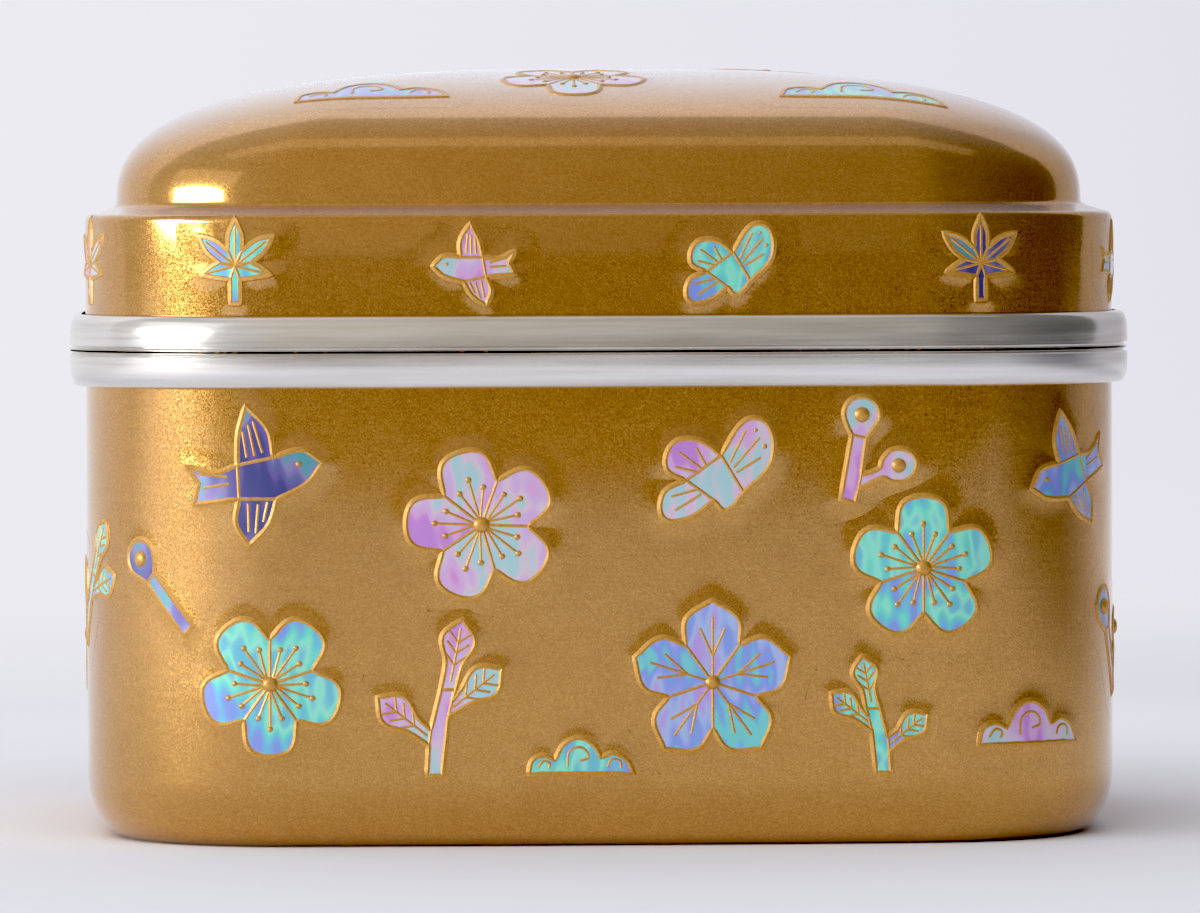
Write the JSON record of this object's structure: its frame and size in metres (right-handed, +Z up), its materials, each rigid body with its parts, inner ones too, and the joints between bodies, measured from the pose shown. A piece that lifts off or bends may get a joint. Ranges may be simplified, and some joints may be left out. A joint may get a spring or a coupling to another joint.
{
  "type": "lacquer incense box",
  "caption": "Round-cornered incense box in gold lacquer, with a domed lift-off lid, silver rims round both edges and ornaments of mother-of-pearl let into the lacquer.",
  "frame": {"origin": "middle of the flat underside that the box stands on", "axes": "+X to the box's right as seen from its front, along its longest side; the front faces -Y; +Z up"},
  "size_m": [0.0824, 0.0664, 0.0594],
  "materials": {
    "gold_lacquer": "wood under clear lacquer over fine sprinkled gold powder",
    "silver": "polished silver with a soft brushed sheen",
    "shell_rose": "polished mother-of-pearl, pink and violet",
    "shell_teal": "polished mother-of-pearl, blue-green and mint",
    "shell_blue": "polished mother-of-pearl, blue",
    "shell_dusk": "polished mother-of-pearl, dark violet"
  },
  "bodies": {
    "root": {"bellflower_back": "shell_teal", "bellflower_front": "shell_blue", "bellflower_top": "shell_teal", "blossom_back": "shell_rose", "blossom_front_left": "shell_teal", "blossom_front_middle": "shell_rose", "blossom_front_right": "shell_teal", "blossom_left": "shell_teal", "blossom_right": "shell_rose", "blossom_top": "shell_rose", "body": "gold_lacquer", "body_rim": "silver", "bud_front_left": "shell_dusk", "buds_front": "shell_rose", "buds_right": "shell_dusk", "butterfly_back": "shell_blue", "butterfly_band_front": "shell_teal", "butterfly_front": "shell_rose", "butterfly_left": "shell_rose", "cloud_back": "shell_teal", "cloud_front_left": "shell_teal", "cloud_front_right": "shell_rose", "cloud_left": "shell_dusk", "cloud_top_left": "shell_blue", "cloud_top_right": "shell_teal", "lid": "gold_lacquer", "lid_rim": "silver", "maple_band_back": "shell_teal", "maple_band_front_left": "shell_teal", "maple_band_front_right": "shell_dusk", "maple_band_left": "shell_rose", "plover_back": "shell_dusk", "plover_band_back": "shell_blue", "plover_band_front": "shell_rose", "plover_band_right": "shell_teal", "plover_front_left": "shell_dusk", "plover_front_right": "shell_blue", "plover_right": "shell_blue", "sprig_back": "shell_rose", "sprig_front_left": "shell_rose", "sprig_front_right": "shell_teal", "sprig_left": "shell_teal", "sprig_right": "shell_teal", "sprig_top": "shell_rose"}
  },
  "joints": []
}
